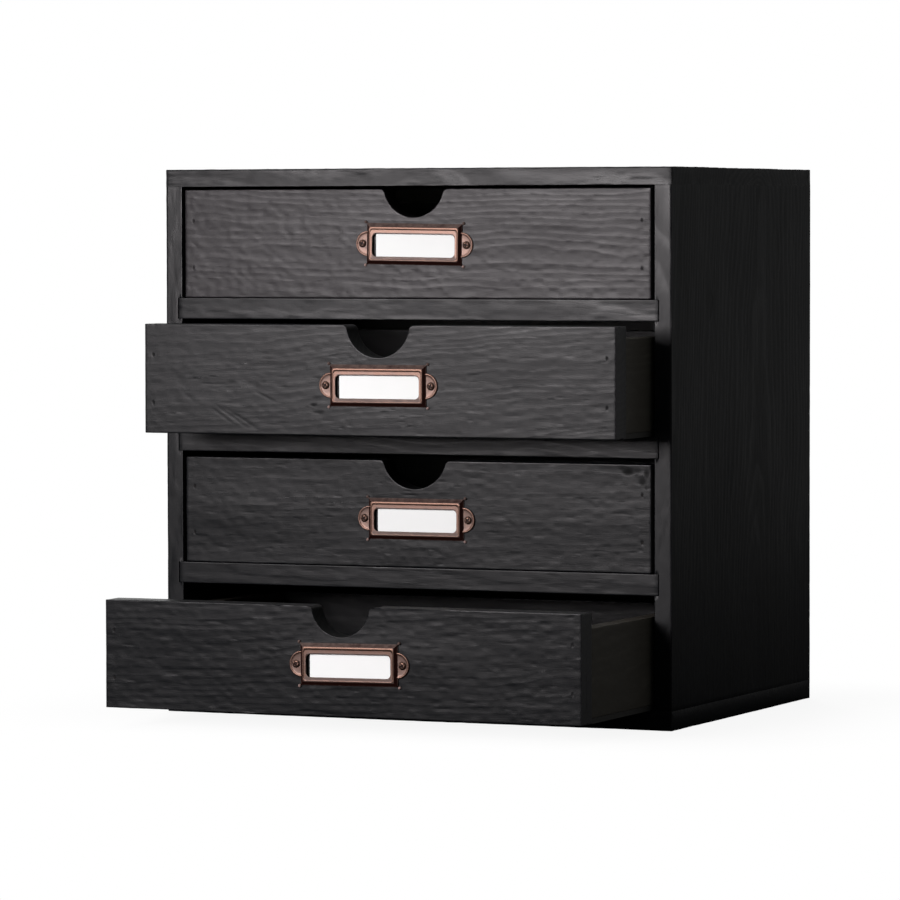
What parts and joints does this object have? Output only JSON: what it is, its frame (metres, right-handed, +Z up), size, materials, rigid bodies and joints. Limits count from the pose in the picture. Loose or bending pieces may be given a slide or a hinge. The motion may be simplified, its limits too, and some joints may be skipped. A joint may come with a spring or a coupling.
{
  "type": "desktop drawer organizer",
  "caption": "Small free-standing wooden cabinet, stained black, with a stack of loose drawers that have round finger notches and copper label holders.",
  "frame": {"origin": "centre of the underside of the cabinet's bottom board, on the surface it stands on", "axes": "+X to the right seen from the front, +Y towards the back panel, +Z up; the drawers open along -Y"},
  "size_m": [0.26, 0.2706, 0.26],
  "materials": {
    "stained_wood": "black stained, brushed grain, satin",
    "stained_thin_wood": "black stained thin board",
    "copper_sheet": "antique copper plated sheet, dark in the hollows",
    "copper_screw": "antique copper plated screw",
    "label_card": "blank white card",
    "steel_brad": "square wire brad under black stain"
  },
  "bodies": {
    "cabinet": {"left_side_panel": "stained_wood", "right_side_panel": "stained_wood", "top_panel": "stained_wood", "bottom_panel": "stained_wood", "upper_shelf": "stained_wood", "middle_shelf": "stained_wood", "lower_shelf": "stained_wood", "back_panel": "stained_thin_wood", "carcass_brads": "steel_brad", "back_panel_brads": "steel_brad"},
    "top_drawer": {"top_drawer_front": "stained_wood", "top_drawer_left_side": "stained_wood", "top_drawer_right_side": "stained_wood", "top_drawer_back": "stained_wood", "top_drawer_bottom": "stained_thin_wood", "top_drawer_label_holder": "copper_sheet", "top_drawer_label_card": "label_card", "top_drawer_holder_screws": "copper_screw", "top_drawer_brads": "steel_brad"},
    "second_drawer": {"second_drawer_front": "stained_wood", "second_drawer_left_side": "stained_wood", "second_drawer_right_side": "stained_wood", "second_drawer_back": "stained_wood", "second_drawer_bottom": "stained_thin_wood", "second_drawer_label_holder": "copper_sheet", "second_drawer_label_card": "label_card", "second_drawer_holder_screws": "copper_screw", "second_drawer_brads": "steel_brad"},
    "third_drawer": {"third_drawer_front": "stained_wood", "third_drawer_left_side": "stained_wood", "third_drawer_right_side": "stained_wood", "third_drawer_back": "stained_wood", "third_drawer_bottom": "stained_thin_wood", "third_drawer_label_holder": "copper_sheet", "third_drawer_label_card": "label_card", "third_drawer_holder_screws": "copper_screw", "third_drawer_brads": "steel_brad"},
    "bottom_drawer": {"bottom_drawer_front": "stained_wood", "bottom_drawer_left_side": "stained_wood", "bottom_drawer_right_side": "stained_wood", "bottom_drawer_back": "stained_wood", "bottom_drawer_bottom": "stained_thin_wood", "bottom_drawer_label_holder": "copper_sheet", "bottom_drawer_label_card": "label_card", "bottom_drawer_holder_screws": "copper_screw", "bottom_drawer_brads": "steel_brad"}
  },
  "joints": [
    {"name": "top_drawer_slide", "type": "slide", "parent": "cabinet", "child": "top_drawer", "axis": [0, -1, 0], "range_m": [0, 0.15]},
    {"name": "second_drawer_slide", "type": "slide", "parent": "cabinet", "child": "second_drawer", "axis": [0, -1, 0], "range_m": [-0.0425, 0.1075]},
    {"name": "third_drawer_slide", "type": "slide", "parent": "cabinet", "child": "third_drawer", "axis": [0, -1, 0], "range_m": [0, 0.15]},
    {"name": "bottom_drawer_slide", "type": "slide", "parent": "cabinet", "child": "bottom_drawer", "axis": [0, -1, 0], "range_m": [-0.0835, 0.0665]}
  ]
}
